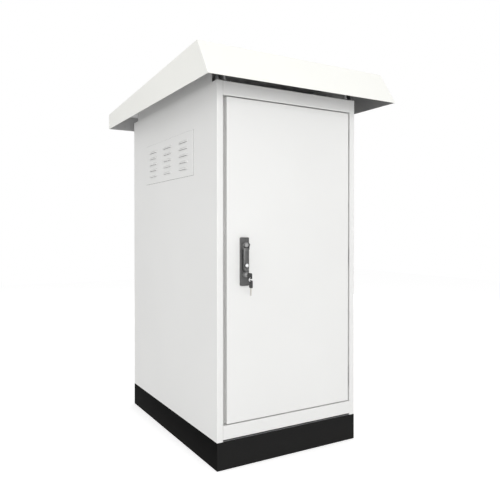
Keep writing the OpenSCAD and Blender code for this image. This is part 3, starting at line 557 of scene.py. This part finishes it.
# the roof's paint is set lighter and warmer than the body's as painted light, and its inner faces carry
# painted shade
dress(["roof_cover"], makeWhitePaint("roofPaintWithPaintedLight", white=0.89, tint=(1.0, 1.0, 0.955),
                                     inside={"sides": 0.2, "ends": 0.42}))
dress(["left_roof_rail", "right_roof_rail"], makeWhitePaint("roofRailPaint", white=0.76))
dress(["plinth"], makeBlackPaint())
dress(["floor_pan"], makeZinc("floorZinc", tone=0.34))
dress(["front_left_rack_rail", "front_right_rack_rail", "rear_left_rack_rail", "rear_right_rack_rail",
       "lower_left_depth_rail", "lower_right_depth_rail", "upper_left_depth_rail", "upper_right_depth_rail",
       "gland_plate", "left_filter_frame", "right_filter_frame", "lock_bracket", "lock_cam",
       "upper_rod", "lower_rod"], makeZinc("zincPlate", tone=0.62))
dress(["plinth_bolts", "gland_plate_screws", "rear_panel_screws", "roof_bolts", "key_ring"], boltZinc)
dress([place + leaf for place in hinges for leaf in ("_frame_hinge", "_door_hinge")],
      makeZinc("hingeZinc", tone=0.5))
dress([place + "_hinge_pin" for place in hinges], makeZinc("pinSteel", tone=0.72))
# the roof brackets' zinc is darkened as painted shade of the gap under the roof
dress(["roof_brackets"], makeZinc("bracketShadedZinc", tone=0.16))
dress(["left_filter_mat", "right_filter_mat"], filterFoam)
dress(["door_seal"], sealRubber)
dress(["earth_bar"], makeCopper())
dress(["earth_bar_posts"], makePlastic("postPlastic", (0.32, 0.05, 0.035)))
dress(["rod_guides"], makePlastic("guidePlastic", (0.025, 0.025, 0.027)))
dress(["lock_housing"], makeLockGrey("plateGrey", dark=0.085, light=0.12))
dress(["lock_lever"], makeLockGrey("leverGrey", dark=0.08, light=0.13))
dress(["lock_spindle", "key_plug"], makeLockGrey("knobGrey", dark=0.24, light=0.36))
dress(["push_button"], makeChrome())
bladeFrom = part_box("key_plug")[0].y - keyLook["bowToPlug"]
dress(["lock_key"], makeKey("lockKey", "Y", bladeFrom, bladeAbove=True))
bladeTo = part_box("spare_key")[0].z + keyLook["spareBladeLong"]
dress(["spare_key"], makeKey("spareKey", "Z", bladeTo, bladeAbove=False))
print("finishes on")


# rolled edges: merge the loose triangles and round the sheet's corners a little
softEdges = {
    "roof_cover": 0.0009,
    "door_panel": 0.0006,
    "plinth": 0.0009,
    "rear_panel": 0.0004,
    "lock_housing": 0.0012,
    "lock_lever": 0.0014,
    "left_roof_rail": 0.0005,
    "right_roof_rail": 0.0005,
}
rolling = {"merge": 0.00001, "flatTo": 0.5, "sharpFrom": 40.0, "segments": 3, "sheetWeight": 100}


def roundEdges(name, width):
    piece = nodes[name]
    weld = piece.modifiers.new("mergeCorners", "WELD")
    weld.merge_threshold = rolling["merge"]
    flat = piece.modifiers.new("wholeFaces", "DECIMATE")
    flat.decimate_type = "DISSOLVE"
    flat.angle_limit = math.radians(rolling["flatTo"])
    bevel = piece.modifiers.new("rolledEdge", "BEVEL")
    bevel.width = width
    bevel.segments = rolling["segments"]
    bevel.limit_method = "ANGLE"
    bevel.angle_limit = math.radians(rolling["sharpFrom"])
    bevel.harden_normals = name.startswith("lock")
    if not bevel.harden_normals:
        even = piece.modifiers.new("evenSheet", "WEIGHTED_NORMAL")    # large faces stay flat
        even.weight = rolling["sheetWeight"]
        even.keep_sharp = True


for name, width in softEdges.items():
    roundEdges(name, width)
print("edges rounded")


# modelling by hand: a primitive goes where it is needed and is shaped in edit mode
def startPiece(add, name, stretch=(1.0, 1.0, 1.0), **values):
    bpy.ops.object.select_all(action="DESELECT")
    add(**values)
    piece = bpy.context.object
    piece.scale = stretch
    bpy.ops.object.transform_apply(location=True, rotation=True, scale=True)
    piece.name = name
    piece.data.name = name
    return piece


def pickNothing(kind):
    bpy.ops.object.mode_set(mode="EDIT")
    bpy.ops.mesh.select_mode(type=kind)
    bpy.ops.mesh.select_all(action="DESELECT")
    bpy.ops.object.mode_set(mode="OBJECT")


def pickFaces(piece, wanted):
    pickNothing("FACE")
    for face in piece.data.polygons:
        face.select = bool(wanted(face))
    bpy.ops.object.mode_set(mode="EDIT")


def pickEdges(piece, wanted):
    pickNothing("EDGE")
    corners = piece.data.vertices
    for edge in piece.data.edges:
        edge.select = bool(wanted(*(corners[index].co for index in edge.vertices)))
    bpy.ops.object.mode_set(mode="EDIT")


def pickAll():
    bpy.ops.object.mode_set(mode="EDIT")
    bpy.ops.mesh.select_all(action="SELECT")


def easeEdges(piece, width, segments=2):
    bpy.ops.object.mode_set(mode="OBJECT")
    bevel = piece.modifiers.new("easedEdge", "BEVEL")
    bevel.width = width
    bevel.segments = segments
    bevel.limit_method = "ANGLE"
    bevel.angle_limit = math.radians(rolling["sharpFrom"])
    bpy.ops.object.modifier_apply(modifier=bevel.name)


def makeActive(piece):
    bpy.ops.object.select_all(action="DESELECT")
    piece.select_set(True)
    bpy.context.view_layer.objects.active = piece


def copyPiece(piece, name, move):
    makeActive(piece)
    bpy.ops.object.duplicate(linked=False)
    bpy.ops.transform.translate(value=move)
    bpy.ops.object.transform_apply(location=True, rotation=True, scale=True)
    twin = bpy.context.object
    twin.name = name
    twin.data.name = name
    return twin


# the piece at the first place, and a copy of it at each of the others
def spreadPiece(piece, places):
    start, *others = places.items()
    pieces = [piece]
    for name, place in others:
        pieces.append(copyPiece(piece, name, tuple(b - a for a, b in zip(start[1], place))))
    return pieces


def settlePiece(piece, body, material, smooth=35.0):
    makeActive(piece)
    bpy.ops.object.shade_smooth_by_angle(angle=math.radians(smooth))
    piece.data.materials.clear()
    piece.data.materials.append(material)
    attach(piece, body)


# ring cut from a disc: both ends are inset and the hole is bridged through
def cutRing(name, middle, inner, outer, depth, turn, sides=48):
    piece = startPiece(bpy.ops.mesh.primitive_cylinder_add, name, vertices=sides, radius=outer, depth=depth,
                       location=middle, rotation=turn)
    pickFaces(piece, lambda face: len(face.vertices) > 4)
    bpy.ops.mesh.inset(thickness=outer - inner)
    bpy.ops.mesh.bridge_edge_loops()
    bpy.ops.object.mode_set(mode="OBJECT")
    return piece


# an open sheet is pulled out to its thickness and its faces are turned outwards
def thickenSheet(pull):
    pickAll()
    bpy.ops.mesh.extrude_region_move(TRANSFORM_OT_translate={"value": pull})
    bpy.ops.mesh.select_all(action="SELECT")
    bpy.ops.mesh.normals_make_consistent(inside=False)


# frame cut from a plane: its corners are rounded and the middle is taken out
def cutFrame(name, middle, turn, spread, shape, pull):
    piece = startPiece(bpy.ops.mesh.primitive_plane_add, name, size=1.0, location=middle, rotation=turn,
                       stretch=spread + (1.0,))
    pickAll()
    bpy.ops.mesh.bevel(offset=shape["corner"], segments=shape["cornerSegments"], affect="VERTICES")
    pickFaces(piece, lambda face: True)
    bpy.ops.mesh.inset(thickness=shape["width"])
    bpy.ops.mesh.delete(type="FACE")
    thickenSheet(pull)
    return piece


# hexagon head on its washer, all as shares of the size across its flats
boltShape = {
    "head": 0.62,
    "washer": 0.13,
    "crownInset": 0.07,
    "crownRise": 0.05,
    "studRadius": 0.3,
    "ease": 0.025,
    "washerSides": 36,
    "studSides": 24,
}


def shapeBolt(name, foot, across, washer, turn=(0.0, 0.0, 0.0), stud=0.0):
    head = across * boltShape["head"]
    plate = across * boltShape["washer"]
    piece = startPiece(bpy.ops.mesh.primitive_cylinder_add, name, vertices=6, radius=across / math.sqrt(3.0),
                       depth=head, location=(0.0, 0.0, plate + head / 2))
    pickFaces(piece, lambda face: face.normal.z > squareOn)
    bpy.ops.mesh.inset(thickness=across * boltShape["crownInset"])
    bpy.ops.transform.translate(value=(0.0, 0.0, across * boltShape["crownRise"]))
    bpy.ops.mesh.select_all(action="DESELECT")
    bpy.ops.mesh.primitive_cylinder_add(vertices=boltShape["washerSides"], radius=washer / 2, depth=plate,
                                        location=(0.0, 0.0, plate / 2))
    if stud:
        bpy.ops.mesh.select_all(action="DESELECT")
        bpy.ops.mesh.primitive_cylinder_add(vertices=boltShape["studSides"],
                                            radius=across * boltShape["studRadius"], depth=stud,
                                            location=(0.0, 0.0, plate + head + stud / 2))
    easeEdges(piece, across * boltShape["ease"])
    piece.rotation_euler = turn
    piece.location = foot
    bpy.ops.object.transform_apply(location=True, rotation=True, scale=True)
    return piece


toFront = (math.pi / 2, 0.0, 0.0)
toLeft = (0.0, -math.pi / 2, 0.0)
squareOn = 0.9    # a face whose normal is at least this much along an axis looks that way


# corner caps on the front posts, each with a stud bolt up to the roof
postCap = {
    "across": 0.017,
    "deep": 0.0245,
    "thick": 0.002,
    "fromSide": 0.0004,
    "fromFront": 0.0006,
    "corner": 0.002,
    "cornerSegments": 4,
    "ease": 0.0004,
    "bolt": 0.0125,
    "washer": 0.0155,
    "stud": 0.006,
    "shadedZincTone": 0.3,
}


def makePostCaps():
    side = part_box("left_side_panel")
    x = side[0].x + postCap["fromSide"] + postCap["across"] / 2
    y = side[0].y + postCap["fromFront"] + postCap["deep"] / 2
    top = side[1].z
    cap = startPiece(bpy.ops.mesh.primitive_cube_add, "leftPostCap", size=1.0,
                     location=(x, y, top + postCap["thick"] / 2),
                     stretch=(postCap["across"], postCap["deep"], postCap["thick"]))
    pickEdges(cap, lambda a, b: abs(a.z - b.z) > postCap["thick"] / 2)
    bpy.ops.mesh.bevel(offset=postCap["corner"], segments=postCap["cornerSegments"])
    easeEdges(cap, postCap["ease"])
    bolt = shapeBolt("leftCapBolt", (x, y, top + postCap["thick"]), postCap["bolt"], postCap["washer"],
                     stud=postCap["stud"])
    across = (-2 * x, 0.0, 0.0)
    twins = (copyPiece(cap, "rightPostCap", across), copyPiece(bolt, "rightCapBolt", across))
    # the caps and their bolts are darkened as painted shade of the gap under the roof
    capShadedZinc = makeZinc("capShadedZinc", tone=postCap["shadedZincTone"])
    for piece in (cap, bolt) + twins:
        settlePiece(piece, "cabinet", capShadedZinc)


makePostCaps()
print("post caps on")


# a collar round the push button, dark as painted shade under it, and a brighter one round the key plug
lockCollars = {
    "button": {"inner": 0.0074, "outer": 0.0093, "stand": 0.0007, "sunk": 0.0026, "ease": 0.0004},
    "plug": {"inner": 0.0072, "outer": 0.0096, "stand": 0.0025, "sunk": 0.0, "ease": 0.0012},
    "buttonBehindLever": 0.005,    # from the lever's face to the button's foot
    "easeSegments": 3,
}


def makeCollar(name, box, face, ring):
    middle = ((box[0].x + box[1].x) / 2, face + (ring["sunk"] - ring["stand"]) / 2, (box[0].z + box[1].z) / 2)
    piece = cutRing(name, middle, ring["inner"], ring["outer"], ring["stand"] + ring["sunk"], toFront)
    easeEdges(piece, ring["ease"], lockCollars["easeSegments"])
    return piece


def makeLockCollars():
    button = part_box("push_button")
    leverFace = button[1].y - lockCollars["buttonBehindLever"]
    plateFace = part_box("lock_housing")[0].y
    onLever = makeCollar("buttonCollar", button, leverFace, lockCollars["button"])
    onPlate = makeCollar("plugCollar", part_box("key_plug"), plateFace, lockCollars["plug"])
    # the button's collar is dark as painted shade
    settlePiece(onLever, "lever", makeLockGrey("buttonCollarPaintedShade", dark=0.018, light=0.035))
    settlePiece(onPlate, "door", makeLockGrey("plugCollarGrey", dark=0.16, light=0.26))


makeLockCollars()
print("lock collars on")


# sealing washers under the roof bolts, lying on the slope
roofWashers = {
    "inner": 0.0082,
    "outer": 0.0125,
    "thick": 0.003,
    "sunk": 0.0008,
    "ease": 0.0008,
    "easeSegments": 3,
    "boltHeadRadius": 0.008,
    "ridgeFromFront": 0.08,    # where the leaning front meets the top
    "roofFall": 0.057,
    "color": (0.03, 0.03, 0.032),
    "rough": 0.6,
}


def makeRoofWashers():
    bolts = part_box("roof_bolts")
    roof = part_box("roof_cover")
    edge = roofWashers["boltHeadRadius"]
    ridge = roof[0].y + roofWashers["ridgeFromFront"]
    slope = roofWashers["roofFall"] / (roof[1].y - ridge)
    places = {}
    for side, x in (("Left", bolts[0].x + edge), ("Right", bolts[1].x - edge)):
        for end, y in (("Front", bolts[0].y + edge), ("Rear", bolts[1].y - edge)):
            z = roof[1].z - (y - ridge) * slope + roofWashers["thick"] / 2 - roofWashers["sunk"]
            places["roofWasher" + side + end] = (x, y, z)
    name, start = next(iter(places.items()))
    first = cutRing(name, start, roofWashers["inner"], roofWashers["outer"], roofWashers["thick"],
                    (-math.atan(slope), 0.0, 0.0))
    easeEdges(first, roofWashers["ease"], roofWashers["easeSegments"])
    washerRubber = makePlastic("washerRubber", roofWashers["color"], roofWashers["rough"])
    for piece in spreadPiece(first, places):
        settlePiece(piece, "cabinet", washerRubber)


makeRoofWashers()
print("roof washers on")


# door seal: a rounded rubber section with rounded corners
sealShape = {
    "width": 0.012,
    "corner": 0.016,
    "cornerSegments": 6,
    "crown": 0.0026,
    "crownSegments": 4,
    "rimShare": 0.6,
    "near": 0.0001,
    "smooth": 50.0,
}


def makeDoorSeal():
    low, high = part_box("door_seal")
    middle = ((low.x + high.x) / 2, low.y, (low.z + high.z) / 2)
    seal = cutFrame("rubberSeal", middle, toFront, (high.x - low.x, high.z - low.z), sealShape,
                    (0.0, high.y - low.y, 0.0))
    pickEdges(seal, lambda a, b: min(a.y, b.y) > high.y - sealShape["near"] and onRim(a, b, low, high))
    bpy.ops.mesh.bevel(offset=sealShape["crown"], segments=sealShape["crownSegments"])
    bpy.ops.object.mode_set(mode="OBJECT")
    settlePiece(seal, "door", sealRubber, sealShape["smooth"])
    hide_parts("door_seal")


# an edge along the outer or the inner outline, and not one across the section
def onRim(a, b, low, high):
    def depthIn(p):
        return min(p.x - low.x, high.x - p.x, p.z - low.z, high.z - p.z)
    return abs(depthIn(a) - depthIn(b)) < sealShape["width"] * sealShape["rimShare"]


makeDoorSeal()
print("door seal on")


# filter mats: thick fibre pads with soft edges and an uneven face
filterMat = {
    "runs": 56,
    "rows": 16,
    "setBack": 0.0008,
    "ease": 0.003,
    "easeSegments": 3,
    "unevenness": 0.0005,
    "sideways": 0.3,
    "outwards": 0.7,
    "seeds": {"left": 4, "right": 9},
    "smooth": 80.0,
}


def makeFilterMats():
    for side, seed in filterMat["seeds"].items():
        low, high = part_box(side + "_filter_mat")
        start = low.x + filterMat["setBack"]
        mat = startPiece(bpy.ops.mesh.primitive_grid_add, side + "FilterPad", size=1.0,
                         x_subdivisions=filterMat["rows"], y_subdivisions=filterMat["runs"],
                         location=(start, (low.y + high.y) / 2, (low.z + high.z) / 2), rotation=toLeft,
                         stretch=(high.z - low.z, high.y - low.y, 1.0))
        thickenSheet((high.x - low.x - 2 * filterMat["setBack"], 0.0, 0.0))
        easeEdges(mat, filterMat["ease"], filterMat["easeSegments"])
        pickFaces(mat, lambda face: abs(face.normal.x) > squareOn)
        bpy.ops.transform.vertex_random(offset=filterMat["unevenness"], uniform=filterMat["sideways"],
                                        normal=filterMat["outwards"], seed=seed)
        bpy.ops.object.mode_set(mode="OBJECT")
        settlePiece(mat, "cabinet", filterFoam, filterMat["smooth"])
        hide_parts(side + "_filter_mat")


makeFilterMats()
print("filter mats in")


# thin gasket under each louvre plate, which shows above and below it; its dark grey is painted shadow along
# the plate's edges
ventShadowGasket = {
    "proud": 0.0009,
    "endsProud": 0.0002,
    "thick": 0.0007,
    "width": 0.006,
    "corner": 0.002,
    "cornerSegments": 3,
    "ease": 0.0002,
    "color": (0.2, 0.2, 0.2),
    "rough": 0.7,
}


def makeVentGaskets():
    low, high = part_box("left_vent_plate")
    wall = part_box("left_side_panel")[0].x
    middle = (wall, (low.y + high.y) / 2, (low.z + high.z) / 2)
    spread = (high.z - low.z + 2 * ventShadowGasket["proud"], high.y - low.y + 2 * ventShadowGasket["endsProud"])
    gasket = cutFrame("leftVentGasket", middle, toLeft, spread, ventShadowGasket, (-ventShadowGasket["thick"], 0.0, 0.0))
    easeEdges(gasket, ventShadowGasket["ease"])
    twin = copyPiece(gasket, "rightVentGasket", (ventShadowGasket["thick"] - 2 * wall, 0.0, 0.0))
    # dark grey as painted shadow under the plate's edges
    gasketShadowGrey = makePlastic("gasketShadowGrey", ventShadowGasket["color"], ventShadowGasket["rough"])
    for piece in (gasket, twin):
        settlePiece(piece, "cabinet", gasketShadowGrey)


makeVentGaskets()
print("vent gaskets on")


# bolts along the earth bar, for the earth wires
earthBolts = {"across": 0.013, "washer": 0.017, "count": 8, "pitch": 0.024}


def makeEarthBolts():
    low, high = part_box("earth_bar")
    x = (low.x + high.x) / 2 - earthBolts["pitch"] * (earthBolts["count"] - 1) / 2
    z = (low.z + high.z) / 2
    places = {"earthBolt" + str(index + 1): (x + index * earthBolts["pitch"], low.y, z)
              for index in range(earthBolts["count"])}
    name, start = next(iter(places.items()))
    first = shapeBolt(name, start, earthBolts["across"], earthBolts["washer"], toFront)
    for piece in spreadPiece(first, places):
        settlePiece(piece, "cabinet", boltZinc)


# bolts that hold the mounting rails on the depth rails
railBolts = {"across": 0.010, "washer": 0.014, "proud": 0.002}


def makeRailBolts():
    for side, way in (("left", 1.0), ("right", -1.0)):
        places = {}
        for end in ("front", "rear"):
            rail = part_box(end + "_" + side + "_rack_rail")
            for level in ("lower", "upper"):
                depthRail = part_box(level + "_" + side + "_depth_rail")
                inner = depthRail[1].x if way > 0 else depthRail[0].x
                places[side + "RailBolt" + end.capitalize() + level.capitalize()] = (
                    inner + way * railBolts["proud"],
                    (rail[0].y + rail[1].y) / 2,
                    (depthRail[0].z + depthRail[1].z) / 2,
                )
        name, start = next(iter(places.items()))
        turn = (0.0, way * math.pi / 2, 0.0)
        first = shapeBolt(name, start, railBolts["across"], railBolts["washer"], turn)
        for piece in spreadPiece(first, places):
            settlePiece(piece, "cabinet", boltZinc)


makeEarthBolts()
makeRailBolts()
print("inner bolts on")
